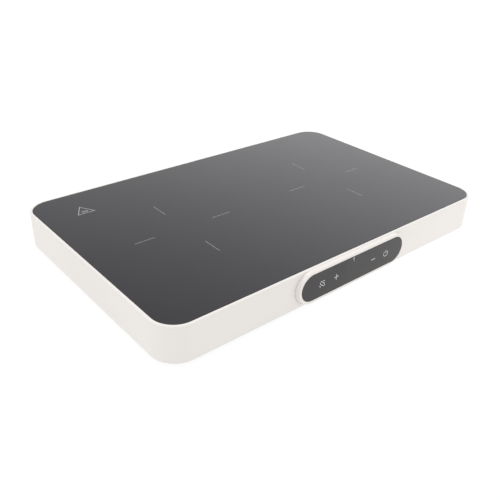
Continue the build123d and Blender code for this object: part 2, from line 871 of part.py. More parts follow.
def make_coil_former(centre):
    cup_inner = sensor_cup_radius - sensor_cup_wall
    drop_hole_radius = lead_radius + 0.8
    with BuildPart() as former:
        with BuildSketch(Plane.XY.offset(former_bottom)):
            with Locations(centre):
                Circle(former_radius)
        extrude(amount=former_thickness)
        with BuildSketch(Plane.XY.offset(former_top)):
            with Locations(centre):
                Circle(former_radius)
                Circle(former_radius - former_rim, mode=Mode.SUBTRACT)
        extrude(amount=former_rim_height)
        with Locations((centre[0], centre[1], tray_top)):
            Cylinder(sensor_cup_radius, former_top - tray_top, align=on_floor)
        with Locations((centre[0], centre[1], former_top)):
            Cylinder(
                cup_inner,
                former_top - tray_top - sensor_cup_wall,
                align=hanging,
                mode=Mode.SUBTRACT,
            )
        # Air windows between the ferrite bars, and ways out for both wire ends.
        with BuildSketch(Plane.XY.offset(former_bottom)):
            with Locations(centre):
                with PolarLocations(former_window_at, ferrite_count):
                    SlotOverall(former_window_length, former_window_width)
            with Locations((centre[0] - inner_lead_drop, centre[1] - winding_inner)):
                Circle(drop_hole_radius)
        extrude(amount=former_thickness, mode=Mode.SUBTRACT)
        with Locations((centre[0] + outer_lead_exit, centre[1] - former_radius, former_top)):
            Box(24, 24, former_rim_height, align=on_floor, mode=Mode.SUBTRACT)
    return former


def make_coil_winding(centre):
    """A flat spiral of half circles, each tangent to the next."""
    middle = Plane(origin=(centre[0], centre[1], winding_z))
    with BuildPart() as winding:
        with BuildLine(middle) as spiral:
            for half_turn in range(winding_half_turns):
                side = 1 if half_turn % 2 == 0 else -1
                start = winding_inner + half_turn * winding_pitch / 2
                end = start + winding_pitch / 2
                bend = (start + end) / 2
                ThreePointArc(
                    (0, -side * start), (side * bend, side * winding_pitch / 4), (0, side * end)
                )
        with BuildSketch(Plane(origin=spiral.line @ 0, z_dir=spiral.line % 0)):
            Circle(wire_radius)
        sweep(path=spiral.line)
    return winding


def make_mica_sheet(centre):
    with BuildPart() as mica:
        with BuildSketch(Plane.XY.offset(mica_bottom)):
            with Locations(centre):
                Circle(winding_outer + wire_radius + 1)
                Circle(winding_inner - wire_radius - 2, mode=Mode.SUBTRACT)
        extrude(amount=mica_thickness)
    return mica


def make_glass_sensor(centre):
    """A button pressed against the glass, with a stem inside its spring."""
    with BuildPart() as sensor:
        with Locations((centre[0], centre[1], glass_bottom)):
            Cylinder(sensor_radius, sensor_height, align=hanging)
        fillet(sensor.edges().group_by(Axis.Z)[-1], 0.6)
        with Locations((centre[0], centre[1], glass_bottom - sensor_height)):
            Cylinder(sensor_stem_radius, sensor_stem_length, align=hanging)
    return sensor


def make_coil_leads(centre):
    """One lead from each end of the winding down to the power board."""
    x, y = centre
    under_former_z = tray_top + 2.0
    inner_route = [
        (x, y - winding_inner, winding_z),
        (x - inner_lead_drop, y - winding_inner, winding_z),
        (x - inner_lead_drop, y - winding_inner, under_former_z),
        (x - inner_lead_drop, lead_turn_y, under_former_z),
        (x - inner_lead_drop, lead_turn_y, lead_low_z),
        (x - inner_lead_drop, lead_end_y, lead_low_z),
        (x - inner_lead_drop, lead_end_y, board_top),
    ]
    outer_route = [
        (x, y - winding_outer, winding_z),
        (x + outer_lead_exit, y - winding_outer, winding_z),
        (x + outer_lead_exit, lead_turn_y, winding_z),
        (x + outer_lead_exit, lead_turn_y, lead_low_z),
        (x + outer_lead_exit, lead_end_y, lead_low_z),
        (x + outer_lead_exit, lead_end_y, board_top),
    ]
    inner_lead = tube(inner_route, [2.4, 2.4, 8, 8, 5], lead_radius)
    outer_lead = tube(outer_route, [8, 8, 8, 5], lead_radius)
    with BuildPart() as leads:
        add(inner_lead)
        add(outer_lead)
    return leads


sensor_coil = coil_spring(
    sensor_spring_radius, sensor_spring_wire, sensor_spring_length, turns=3
)


# ---- Power board and its parts; u runs outwards from the middle of the zone ------------------
def make_power_board(side, centre_x):
    with BuildPart() as board:
        with BuildSketch(Plane.XY.offset(board_bottom)):
            with Locations((centre_x, power_board_y)):
                RectangleRounded(power_board_length, power_board_depth, 3)
            with Locations(*[(x, y) for x, y, z in power_board_posts(side, 0)]):
                Circle(small_shank_radius + pass_gap, mode=Mode.SUBTRACT)
        extrude(amount=board_thickness)
    return board


def make_heat_sink(side, centre_x):
    fin_pitch = (heat_sink_length - fin_thickness) / (fin_count - 1)
    middle_x = centre_x + side * heat_sink_u
    with BuildPart() as sink:
        with Locations((middle_x, heat_sink_y, board_top)):
            Box(heat_sink_length, heat_sink_depth, heat_sink_base, align=on_floor)
            with GridLocations(fin_pitch, 0, fin_count, 1):
                Box(fin_thickness, heat_sink_depth, heat_sink_height, align=on_floor)
    return sink


def make_power_transistors(side, centre_x):
    """Two flat transistors that stand against the front of the heat sink."""
    front_y = heat_sink_y - heat_sink_depth / 2
    body_y = front_y - transistor_thickness / 2
    with BuildPart() as transistors:
        for u in transistor_u:
            x = centre_x + side * u
            with Locations((x, body_y, board_top + transistor_lift)):
                Box(transistor_width, transistor_thickness, transistor_height, align=on_floor)
            with Locations((x, body_y, board_top)):
                with GridLocations(transistor_leg_pitch, 0, 3, 1):
                    Box(1.2, 0.7, transistor_lift, align=on_floor)
    return transistors


def make_film_capacitors(side, centre_x):
    with BuildPart() as capacitors:
        for y in film_capacitor_y:
            with Locations((centre_x + side * film_capacitor_u, y, board_top)):
                Box(*film_capacitor_size, align=on_floor)
        fillet(capacitors.edges().group_by(Axis.Z)[-1], 1)
    return capacitors


# ---- Fan: frame, bearing, stator and rotor ---------------------------------------------------
def make_fan_frame(side, centre):
    with BuildPart() as frame:
        with BuildSketch(Plane.XY.offset(fan_bottom)):
            with Locations(centre):
                RectangleRounded(fan_size, fan_size, 4)
                Circle(fan_bore_radius, mode=Mode.SUBTRACT)
        extrude(amount=fan_height)
        with BuildSketch(Plane.XY.offset(fan_bottom)):
            with Locations(centre):
                Circle(hub_radius)
                with PolarLocations((hub_radius + fan_bore_radius) / 2, 4, start_angle=45):
                    Rectangle(fan_bore_radius - hub_radius + 3, fan_strut_width)
        extrude(amount=fan_plate)
        with BuildSketch(Plane.XY.offset(fan_bottom + fan_plate)):
            with Locations(centre):
                Circle(bearing_tube_outer)
                Circle(bearing_outer, mode=Mode.SUBTRACT)
        extrude(amount=bearing_tube_top - fan_bottom - fan_plate)
        with Locations(*fan_posts(side, fan_bottom)):
            Cylinder(
                screw_shank_radius + pass_gap, fan_height, align=on_floor, mode=Mode.SUBTRACT
            )
    return frame


def make_fan_bearing(centre):
    with BuildPart() as bearing:
        with BuildSketch(Plane.XY.offset(bearing_bottom)):
            with Locations(centre):
                Circle(bearing_outer)
                Circle(shaft_radius + bearing_clearance, mode=Mode.SUBTRACT)
        extrude(amount=bearing_top - bearing_bottom)
    return bearing


def make_fan_stator(centre):
    with BuildPart() as stator:
        with BuildSketch(Plane.XY.offset(stator_bottom)):
            with Locations(centre):
                Circle(stator_radius)
                Circle(bearing_tube_outer, mode=Mode.SUBTRACT)
                with PolarLocations(10, 4):
                    Rectangle(6, 2.4, mode=Mode.SUBTRACT)
        extrude(amount=stator_height)
    return stator


def blade_plane(radius):
    """A plane across a blade at this radius."""
    return Plane(origin=(radius, 0, blade_middle_z), x_dir=(0, 1, 0), z_dir=(1, 0, 0))


with BuildPart() as fan_blade:
    with BuildSketch(blade_plane(blade_root)):
        Rectangle(blade_root_chord, blade_root_thickness, rotation=blade_root_pitch)
    with BuildSketch(blade_plane(blade_tip)):
        Rectangle(blade_tip_chord, blade_tip_thickness, rotation=blade_tip_pitch)
    loft()


def make_fan_rotor(centre):
    """A cup with blades round it and the shaft in it."""
    with BuildPart() as rotor:
        with Locations((centre[0], centre[1], hub_bottom)):
            Cylinder(hub_radius, hub_top - hub_bottom, align=on_floor)
        fillet(rotor.edges().group_by(Axis.Z)[-1], 1.5)
        with Locations((centre[0], centre[1], 0)):
            with PolarLocations(0, blade_count):
                add(fan_blade.part)
        with Locations((centre[0], centre[1], hub_bottom)):
            Cylinder(
                hub_radius - hub_wall,
                hub_top - hub_bottom - hub_lid,
                align=on_floor,
                mode=Mode.SUBTRACT,
            )
        with Locations((centre[0], centre[1], shaft_bottom)):
            Cylinder(shaft_radius, shaft_top - shaft_bottom, align=on_floor)
    return rotor


for side_name, side in sides.items():
    zone_centre = (side * zone_x, zone_y)
    fan_centre = (side * fan_x, fan_y)
    save(make_coil_tray(side, zone_centre), f"coil_tray_{side_name}")
    save(make_ferrite_bars(zone_centre), f"ferrite_bars_{side_name}")
    save(make_coil_former(zone_centre), f"coil_former_{side_name}")
    save(make_coil_winding(zone_centre), f"coil_winding_{side_name}")
    save(make_mica_sheet(zone_centre), f"mica_sheet_{side_name}")
    save(make_glass_sensor(zone_centre), f"glass_sensor_{side_name}")
    with BuildPart() as sensor_spring:
        with Locations((zone_centre[0], zone_centre[1], tray_top + sensor_cup_wall)):
            add(sensor_coil)
    save(sensor_spring, f"sensor_spring_{side_name}")
    save(make_coil_leads(zone_centre), f"coil_leads_{side_name}")
    save(make_power_board(side, side * zone_x), f"power_board_{side_name}")
    save(make_heat_sink(side, side * zone_x), f"heat_sink_{side_name}")
    save(make_power_transistors(side, side * zone_x), f"power_transistors_{side_name}")
    save(make_film_capacitors(side, side * zone_x), f"film_capacitors_{side_name}")
    choke_at = (side * (zone_x + choke_u), choke_y)
    save(toroid(choke_at, *choke_size), f"choke_{side_name}")
    save(make_fan_frame(side, fan_centre), f"fan_frame_{side_name}")
    save(make_fan_bearing(fan_centre), f"fan_bearing_{side_name}")
    save(make_fan_stator(fan_centre), f"fan_stator_{side_name}")
    save(make_fan_rotor(fan_centre), f"fan_rotor_{side_name}")
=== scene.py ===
"""Looks of the two-zone induction cooktop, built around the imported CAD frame. Lengths are in metres."""

import json
from math import cos, pi, radians, sin

import bmesh
import bpy
from mathutils import Matrix, Vector


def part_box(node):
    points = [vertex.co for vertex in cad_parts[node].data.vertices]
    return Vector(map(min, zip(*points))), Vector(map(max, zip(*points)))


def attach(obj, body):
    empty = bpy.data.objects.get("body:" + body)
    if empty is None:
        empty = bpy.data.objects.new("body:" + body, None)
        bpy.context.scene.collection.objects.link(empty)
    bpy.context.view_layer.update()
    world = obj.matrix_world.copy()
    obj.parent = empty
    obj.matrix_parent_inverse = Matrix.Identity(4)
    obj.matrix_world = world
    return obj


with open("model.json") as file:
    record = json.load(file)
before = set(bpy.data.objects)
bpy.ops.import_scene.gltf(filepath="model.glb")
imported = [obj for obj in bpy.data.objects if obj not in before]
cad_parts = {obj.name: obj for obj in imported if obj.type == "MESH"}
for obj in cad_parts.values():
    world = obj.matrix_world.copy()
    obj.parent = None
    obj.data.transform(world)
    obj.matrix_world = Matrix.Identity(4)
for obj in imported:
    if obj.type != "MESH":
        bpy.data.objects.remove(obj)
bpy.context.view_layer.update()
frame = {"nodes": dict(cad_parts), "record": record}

MM = 0.001
glass_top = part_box("glass_plate")[1].z
lens_low, lens_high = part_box("control_lens")

# ---- Camera -------------------------------------------------------------------------
CAMERA_AZIMUTH = radians(-41.0)
CAMERA_ELEVATION = radians(30.275)
CAMERA_ROLL = radians(2.062)
CAMERA_PLACE = Vector((-0.57745, -0.64351, 0.47224))
CAMERA_LENS_MM = 44.415
SENSOR_MM = 36.0


def make_camera():
    """A camera at the fitted place, turned a little about its own line of sight."""
    level = cos(CAMERA_ELEVATION)
    back = Vector((sin(CAMERA_AZIMUTH) * level, -cos(CAMERA_AZIMUTH) * level, sin(CAMERA_ELEVATION)))
    flat_right = Vector((0, 0, 1)).cross(back).normalized()
    flat_up = back.cross(flat_right)
    right = cos(CAMERA_ROLL) * flat_right + sin(CAMERA_ROLL) * flat_up
    up = cos(CAMERA_ROLL) * flat_up - sin(CAMERA_ROLL) * flat_right
    data = bpy.data.cameras.new("camera")
    data.lens = CAMERA_LENS_MM
    data.sensor_width = SENSOR_MM
    camera = bpy.data.objects.new("camera", data)
    bpy.context.scene.collection.objects.link(camera)
    turn = Matrix((right, up, back)).transposed()
    camera.matrix_world = Matrix.Translation(CAMERA_PLACE) @ turn.to_4x4()
    bpy.context.scene.camera = camera


# ---- Material helpers -----------------------------------------------------------------
STRIPES_PER_METRE = 3.18


class Shader:
    """A Principled material with short ways to add procedural detail to it."""

    def __init__(self, name, color, roughness, metallic=0.0):
        self.material = bpy.data.materials.new(name)
        self.material.use_nodes = True
        self.nodes = self.material.node_tree.nodes
        self.links = self.material.node_tree.links
        self.surface = self.nodes["Principled BSDF"]
        self.color = (*color, 1.0)
        self.surface.inputs["Base Color"].default_value = self.color
        self.surface.inputs["Roughness"].default_value = roughness
        self.surface.inputs["Metallic"].default_value = metallic
        self.roughness = roughness
        self.place = self.nodes.new("ShaderNodeTexCoord").outputs["Object"]
        self.bump = None

    def set(self, **values):
        """Set sockets of the surface by name, with _ for each space."""
        for socket, value in values.items():
            self.surface.inputs[socket.replace("_", " ")].default_value = value
        return self

    def stretched(self, scale):
        """Object coordinates, scaled by three factors."""
        mapping = self.nodes.new("ShaderNodeMapping")
        mapping.inputs["Scale"].default_value = scale
        self.links.new(self.place, mapping.inputs["Vector"])
        return mapping.outputs["Vector"]

    def noise(self, size, detail=3.0, rough=0.5, place=None):
        """Fractal noise whose largest blobs are about size metres across."""
        node = self.nodes.new("ShaderNodeTexNoise")
        node.inputs["Scale"].default_value = 1.0 / size
        node.inputs["Detail"].default_value = detail
        node.inputs["Roughness"].default_value = rough
        self.links.new(place or self.place, node.inputs["Vector"])
        return node.outputs["Fac"]

    def cells(self, size, feature="F1", output="Distance"):
        """Voronoi cells about size metres across."""
        node = self.nodes.new("ShaderNodeTexVoronoi")
        node.feature = feature
        node.inputs["Scale"].default_value = 1.0 / size
        self.links.new(self.place, node.inputs["Vector"])
        return node.outputs[output]

    def waves(self, size, direction="X", distortion=0.0, rings=False):
        """Stripes or rings, size metres apart."""
        node = self.nodes.new("ShaderNodeTexWave")
        node.wave_type = "RINGS" if rings else "BANDS"
        if rings:
            node.rings_direction = direction
        else:
            node.bands_direction = direction
        node.inputs["Scale"].default_value = 1.0 / (size * STRIPES_PER_METRE)
        node.inputs["Distortion"].default_value = distortion
        self.links.new(self.place, node.inputs["Vector"])
        return node.outputs["Fac"]

    def spread(self, value, low, high):
        """value, from 0 to 1, mapped on to low to high."""
        node = self.nodes.new("ShaderNodeMapRange")
        node.inputs["To Min"].default_value = low
        node.inputs["To Max"].default_value = high
        self.links.new(value, node.inputs["Value"])
        return node.outputs["Result"]

    def vary_color(self, value, other, low=0.35, high=0.65):
        """The colour runs from the base to other as value goes from low to high."""
        ramp = self.nodes.new("ShaderNodeValToRGB")
        ramp.color_ramp.elements[0].position = low
        ramp.color_ramp.elements[0].color = self.color
        ramp.color_ramp.elements[1].position = high
        ramp.color_ramp.elements[1].color = (*other, 1.0)
        self.links.new(value, ramp.inputs["Fac"])
        self.links.new(ramp.outputs["Color"], self.surface.inputs["Base Color"])
        return self

    def vary_roughness(self, value, by):
        """The roughness swings by this much about its own value."""
        swing = self.spread(value, self.roughness - by, self.roughness + by)
        self.links.new(swing, self.surface.inputs["Roughness"])
        return self

    def raise_by(self, value, height, strength=1.0):
        """Bump of this height in metres, added to what is there."""
        node = self.nodes.new("ShaderNodeBump")
        node.inputs["Distance"].default_value = height
        node.inputs["Strength"].default_value = strength
        self.links.new(value, node.inputs["Height"])
        if self.bump is not None:
            self.links.new(self.bump, node.inputs["Normal"])
        self.bump = node.outputs["Normal"]
        self.links.new(self.bump, self.surface.inputs["Normal"])
        return self


def tinted(color, factor):
    """The colour, made darker or lighter by a factor."""
    return tuple(min(1.0, factor * value) for value in color)


# ---- Materials that show ---------------------------------------------------------------
def housing_plastic():
    """Cream moulding with a fine spark-eroded texture and a soft sheen."""
    m = Shader("housing_plastic", (0.779, 0.750, 0.711), 0.42)
    m.set(IOR=1.5)
    m.vary_color(m.noise(120 * MM, 2), (0.764, 0.734, 0.696))
    m.vary_roughness(m.noise(4 * MM, 4), 0.05)
    m.raise_by(m.noise(0.9 * MM, 2, 0.6), 0.02 * MM, 0.5)
    m.raise_by(m.cells(0.45 * MM), 0.008 * MM, 0.4)
    return m


def black_glass():
    """Polished black glass-ceramic: almost no body colour, faint unevenness in its gloss."""
    m = Shader("black_glass", (0.0072, 0.0074, 0.0098), 0.09)
    m.set(IOR=1.6)
    m.vary_color(m.noise(60 * MM, 3), (0.0092, 0.0094, 0.0118))
    m.vary_roughness(m.noise(25 * MM, 5, 0.6), 0.02)
    m.raise_by(m.noise(40 * MM, 2), 0.012 * MM, 0.25)
    m.raise_by(m.cells(1.6 * MM), 0.0015 * MM, 0.2)
    return m


def lens_plastic():
    """Smoke-black glossy window of the control pod."""
    m = Shader("lens_plastic", (0.0175, 0.0155, 0.0150), 0.12)
    m.set(IOR=1.49)
    m.vary_color(m.noise(30 * MM, 3), (0.0245, 0.0215, 0.0210))
    m.vary_roughness(m.noise(9 * MM, 5, 0.6), 0.03)
    m.raise_by(m.noise(18 * MM, 2), 0.01 * MM, 0.3)
    return m


def printed_ink(name, color):
    """Screen-printed enamel with slight unevenness and tiny pores."""
    m = Shader(name, color, 0.38)
    m.vary_color(m.noise(1.2 * MM, 4), tinted(color, 0.88))
    m.vary_roughness(m.noise(0.8 * MM, 3), 0.08)
    m.raise_by(m.cells(0.25 * MM), 0.004 * MM, 0.5)
    return m


def pan_plastic():
    """Grey moulding of the base, with a coarse matte texture."""
    m = Shader("pan_plastic", (0.085, 0.085, 0.09), 0.62)
    m.vary_color(m.noise(80 * MM, 3), (0.10, 0.10, 0.104))
    m.vary_roughness(m.noise(3 * MM, 4), 0.07)
    m.raise_by(m.noise(0.8 * MM, 3, 0.65), 0.05 * MM, 0.6)
    m.raise_by(m.cells(0.9 * MM), 0.02 * MM, 0.5)
    return m


def soft_rubber(name, color):
    """Matte rubber with a dusty, slightly mottled skin."""
    m = Shader(name, color, 0.78)
    lighter = tuple(min(1.0, 1.6 * value + 0.01) for value in color)
    m.vary_color(m.noise(5 * MM, 5, 0.6), lighter, 0.4, 0.75)
    m.vary_roughness(m.noise(2 * MM, 4), 0.08)
    m.raise_by(m.noise(0.5 * MM, 3, 0.7), 0.02 * MM, 0.7)
    return m


def plated_steel(name, color, roughness):
    """Plated steel with drawn lines and small stains."""
    m = Shader(name, color, roughness, 1.0)
    m.vary_color(m.noise(1.5 * MM, 4), tinted(color, 0.8))
    m.vary_roughness(m.noise(0.6 * MM, 4), 0.08)
    m.raise_by(m.noise(0.3 * MM, 2), 0.006 * MM, 0.5)
    return m


# ---- Materials inside --------------------------------------------------------------------
def moulded(name, color, roughness):
    """Plain technical moulding."""
    m = Shader(name, color, roughness)
    m.vary_color(m.noise(15 * MM, 3), tinted(color, 0.86))
    m.vary_roughness(m.noise(2 * MM, 4), 0.06)
    m.raise_by(m.noise(0.6 * MM, 3, 0.6), 0.02 * MM, 0.5)
    return m


def circuit_board():
    """Green solder mask with faint copper tracks under it and a fine glass weave."""
    m = Shader("circuit_board", (0.010, 0.085, 0.035), 0.33)
    m.vary_color(m.cells(3.2 * MM, "DISTANCE_TO_EDGE"), (0.018, 0.13, 0.05), 0.04, 0.10)
    m.vary_roughness(m.noise(6 * MM, 3), 0.06)
    m.raise_by(m.waves(0.5 * MM, "X"), 0.006 * MM, 0.4)
    m.raise_by(m.waves(0.5 * MM, "Y"), 0.006 * MM, 0.4)
    return m


def rolled_aluminium(name, color, roughness):
    """Sheet or extrusion with fine lines along X."""
    m = Shader(name, color, roughness, 1.0)
    lines = m.noise(0.4 * MM, 3, 0.6, m.stretched((0.02, 1.0, 1.0)))
    m.vary_color(m.noise(25 * MM, 3), tinted(color, 0.9))
    m.vary_roughness(lines, 0.09)
    m.raise_by(lines, 0.008 * MM, 0.5)
    return m


def copper_wire():
    """Enamelled stranded copper: fine strands twisted along the wire."""
    m = Shader("copper_wire", (0.60, 0.235, 0.105), 0.34, 1.0)
    m.vary_color(m.noise(3 * MM, 4), (0.48, 0.16, 0.06))
    m.vary_roughness(m.noise(1.0 * MM, 3), 0.08)
    m.raise_by(m.waves(0.8 * MM, "DIAGONAL", 1.5), 0.10 * MM, 0.7)
    return m


def sintered(name, color):
    """Dark pressed ceramic with specks and small chips."""
    m = Shader(name, color, 0.58)
    m.vary_color(m.noise(1.2 * MM, 5, 0.7), tinted(color, 2.2), 0.5, 0.8)
    m.vary_roughness(m.noise(2.5 * MM, 4), 0.10)
    m.raise_by(m.cells(0.8 * MM), 0.03 * MM, 0.5)
    return m


def mica():
    """Pressed mica: flakes that shimmer a little."""
    m = Shader("mica", (0.56, 0.47, 0.33), 0.45)
    m.vary_color(m.cells(2.2 * MM, output="Color"), (0.66, 0.58, 0.43), 0.3, 0.8)
    m.vary_roughness(m.cells(2.2 * MM, output="Color"), 0.14)
    m.raise_by(m.noise(2.0 * MM, 3), 0.02 * MM, 0.5)
    return m


def braided_sleeve(name, color):
    """Glass-fibre braid in two crossing directions."""
    m = Shader(name, color, 0.75)
    m.vary_color(m.waves(0.7 * MM, "DIAGONAL", 0.6), tinted(color, 0.7))
    m.vary_roughness(m.noise(1.0 * MM, 3), 0.06)
    m.raise_by(m.waves(0.7 * MM, "DIAGONAL", 0.6), 0.08 * MM, 0.8)
    m.raise_by(m.waves(0.9 * MM, "Z", 0.4), 0.05 * MM, 0.6)
    return m


def lamination_steel():
    """Stacked steel sheets seen from the edge."""
    m = Shader("stator_steel", (0.25, 0.25, 0.26), 0.4, 1.0)
    m.vary_color(m.waves(0.5 * MM, "Z"), (0.12, 0.12, 0.13))
    m.vary_roughness(m.noise(1.5 * MM, 3), 0.08)
    m.raise_by(m.waves(0.5 * MM, "Z"), 0.03 * MM, 0.7)
    return m


MATERIALS = {
    "housing_plastic": housing_plastic(),
    "black_glass": black_glass(),
    "lens_plastic": lens_plastic(),
    "pan_plastic": pan_plastic(),
    "silicone_seal": soft_rubber("silicone_seal", (0.04, 0.04, 0.04)),
    "foot_rubber": soft_rubber("foot_rubber", (0.012, 0.012, 0.012)),
    "gland_rubber": soft_rubber("gland_rubber", (0.016, 0.016, 0.016)),
    "screw_steel": plated_steel("screw_steel", (0.62, 0.62, 0.60), 0.32),
    "spring_steel": plated_steel("spring_steel", (0.66, 0.66, 0.65), 0.25),
    "bearing_bronze": plated_steel("bearing_bronze", (0.52, 0.31, 0.12), 0.4),
    "black_plastic": moulded("black_plastic", (0.014, 0.014, 0.015), 0.5),
    "display_body": moulded("display_body", (0.70, 0.70, 0.69), 0.45),
    "terminal_plastic": moulded("terminal_plastic", (0.66, 0.65, 0.58), 0.48),
    "former_plastic": moulded("former_plastic", (0.022, 0.020, 0.018), 0.55),
    "capacitor_case": moulded("capacitor_case", (0.55, 0.36, 0.02), 0.35),
    "fuse_ceramic": moulded("fuse_ceramic", (0.76, 0.76, 0.73), 0.3),
    "sensor_body": moulded("sensor_body", (0.78, 0.78, 0.75), 0.4),
    "wire_insulation": soft_rubber("wire_insulation", (0.36, 0.012, 0.010)),
    "cable_jacket": soft_rubber("cable_jacket", (0.11, 0.11, 0.115)),
    "lead_sleeve": braided_sleeve("lead_sleeve", (0.74, 0.70, 0.60)),
    "circuit_board": circuit_board(),
    "ferrite": sintered("ferrite", (0.018, 0.018, 0.020)),
    "tray_aluminium": rolled_aluminium("tray_aluminium", (0.72, 0.72, 0.73), 0.32),
    "heat_sink_aluminium": rolled_aluminium("heat_sink_aluminium", (0.62, 0.62, 0.63), 0.38),
    "copper_wire": copper_wire(),
    "mica": mica(),
    "stator_steel": lamination_steel(),
}


def dress_cad_nodes():
    """Give every CAD node the material of its slot."""
    for row in frame["record"]["subparts"]:
        mesh = frame["nodes"][row["node"]].data
        mesh.materials.clear()
        mesh.materials.append(MATERIALS[row["material_slot"]].material)


# ---- Printed marks ---------------------------------------------------------------------------
INK_HEIGHT = 0.03 * MM
LEAST_LEAN = 0.5


def stroke(points, width, closed=False):
    """Outline of a line of this width through points, as left and right sides, in the plane."""
    count = len(points)
    left, right = [], []
    for index, point in enumerate(points):
        before = points[index - 1] if closed or index > 0 else point
        after = points[(index + 1) % count] if closed or index < count - 1 else point
        into = (Vector(point) - Vector(before)).normalized()
        out = (Vector(after) - Vector(point)).normalized()
        along = (into + out).normalized()
        across = Vector((-along.y, along.x))
        lean = max(LEAST_LEAN, along.dot(out if out.length > 0 else into))
        reach = width / 2 / lean
        left.append(Vector(point) + across * reach)
        right.append(Vector(point) - across * reach)
    return left, right


def print_marks(name, strokes, place, material):
    """Thin closed slabs of ink along strokes, each made of points, a width and whether it is closed.

    place turns u, v and a height over the surface into a point in space. The slabs reach as far
    below the surface as above it.
    """
    sheet = bmesh.new()
    for points, width, closed in strokes:
        left, right = stroke(points, width, closed)
        rows = []
        for side_a, side_b in zip(left, right):
            rows.append(
                [
                    sheet.verts.new(place(side_a.x, side_a.y, INK_HEIGHT)),
                    sheet.verts.new(place(side_b.x, side_b.y, INK_HEIGHT)),
                    sheet.verts.new(place(side_b.x, side_b.y, -INK_HEIGHT)),
                    sheet.verts.new(place(side_a.x, side_a.y, -INK_HEIGHT)),
                ]
            )
        spans = len(rows) if closed else len(rows) - 1
        for index in range(spans):
            here, there = rows[index], rows[(index + 1) % len(rows)]
            for corner in range(4):
                following = (corner + 1) % 4
                sheet.faces.new((here[corner], here[following], there[following], there[corner]))
        if not closed:
            sheet.faces.new(rows[0])
            sheet.faces.new(rows[-1])
    bmesh.ops.recalc_face_normals(sheet, faces=sheet.faces)
    mesh = bpy.data.meshes.new(name)
    sheet.to_mesh(mesh)
    sheet.free()
    mesh.materials.append(material)
    piece = bpy.data.objects.new(name, mesh)
    bpy.context.scene.collection.objects.link(piece)
    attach(piece, "casing")


def on_glass(u, v, height):
    """A place on the glass, with u to the right and v to the rear."""
    return Vector((u, v, glass_top + height))


def on_lens(u, v, height):
    """A place on the front of the lens, with u to the right and v upwards from its middle."""
    middle_z = (lens_low.z + lens_high.z) / 2
    return Vector((u, lens_low.y - height, middle_z + v))


def arc(centre, radius, first, last, count):
    """This many points on an arc, from the first angle to the last, in degrees."""
    step = (last - first) / (count - 1)
    turns = [radians(first + index * step) for index in range(count)]
    return [(centre[0] + radius * cos(a), centre[1] + radius * sin(a)) for a in turns]


ZONE_CENTRES = ((-145.1 * MM, -3.6 * MM), (140.7 * MM, -2.9 * MM))
DASH_NEAR = 49.2 * MM
DASH_FAR = 81.1 * MM
DASH_WIDTH = 0.8 * MM


def zone_mark_strokes():
    """Four dashes that point at the middle of each cooking zone."""
    strokes = []
    for zone_x, zone_y in ZONE_CENTRES:
        for dx, dy in ((1, 0), (-1, 0), (0, 1), (0, -1)):
            near = (zone_x + dx * DASH_NEAR, zone_y + dy * DASH_NEAR)
            far = (zone_x + dx * DASH_FAR, zone_y + dy * DASH_FAR)
            strokes.append(([near, far], DASH_WIDTH, False))
    return strokes


SIGN_CENTRE = (-233.7 * MM, 125.5 * MM)
SIGN_RADIUS = 14.9 * MM
SIGN_LINE = 1.4 * MM
SIGN_BAR_LINE = 1.8 * MM
SIGN_BAR_PITCH = 3.4 * MM
SIGN_BAR_DROP = 1.8 * MM
SIGN_BAR_REACH = 2.7 * MM


def sign_strokes():
    """A plain triangle with three short bars in it."""
    corners = arc(SIGN_CENTRE, SIGN_RADIUS, 90, 330, 3)
    strokes = [(corners, SIGN_LINE, True)]
    for step in (-1, 0, 1):
        x = SIGN_CENTRE[0] + step * SIGN_BAR_PITCH
        y = SIGN_CENTRE[1] - SIGN_BAR_DROP
        strokes.append(([(x, y - SIGN_BAR_REACH), (x, y + SIGN_BAR_REACH)], SIGN_BAR_LINE, False))
    return strokes


KEY_OUTER = 64.3 * MM
KEY_INNER = 37.2 * MM
KEY_HEIGHT = -0.3 * MM
KEY_LINE = 1.0 * MM
FINE_LINE = 0.86 * MM
KEY_ARM = 4.3 * MM
MINUS_LIFT = 0.2 * MM
POWER_RADIUS = 4.2 * MM
POWER_RING_START = 125
POWER_RING_END = 415
POWER_RING_POINTS = 32
POWER_BAR_LIFT = 3.4 * MM
POWER_BAR_REACH = 2.0 * MM
# The mode key's strokes, in millimetres about its middle.
MODE_STROKES = (
    ((-3.4, 3.2), (-2.9, -0.1), (1.0, -2.9), (3.6, -4.6)),
    ((-2.7, 4.4), (0.4, 2.9), (4.2, -0.8), (4.9, -4.3)),
    ((-4.6, -2.2), (-2.1, -4.6)),
    ((1.9, 4.4), (4.6, 2.9)),
)


def bar(x, y, dx, dy):
    """A straight stroke from x - dx, y - dy to x + dx, y + dy."""
    return ([(x - dx, y - dy), (x + dx, y + dy)], KEY_LINE, False)


def key_strokes():
    """Mode, plus, minus and power, from left to right."""
    strokes = []
    for path in MODE_STROKES:
        points = [(-KEY_OUTER + x * MM, KEY_HEIGHT + y * MM) for x, y in path]
        strokes.append((points, FINE_LINE, False))
    strokes.append(bar(-KEY_INNER, KEY_HEIGHT, KEY_ARM, 0))
    strokes.append(bar(-KEY_INNER, KEY_HEIGHT, 0, KEY_ARM))
    strokes.append(bar(KEY_INNER, KEY_HEIGHT + MINUS_LIFT, KEY_ARM, 0))
    ring = arc(
        (KEY_OUTER, KEY_HEIGHT), POWER_RADIUS, POWER_RING_START, POWER_RING_END, POWER_RING_POINTS
    )
    strokes.append((ring, FINE_LINE, False))
    strokes.append(bar(KEY_OUTER, KEY_HEIGHT + POWER_BAR_LIFT, 0, POWER_BAR_REACH))
    return strokes


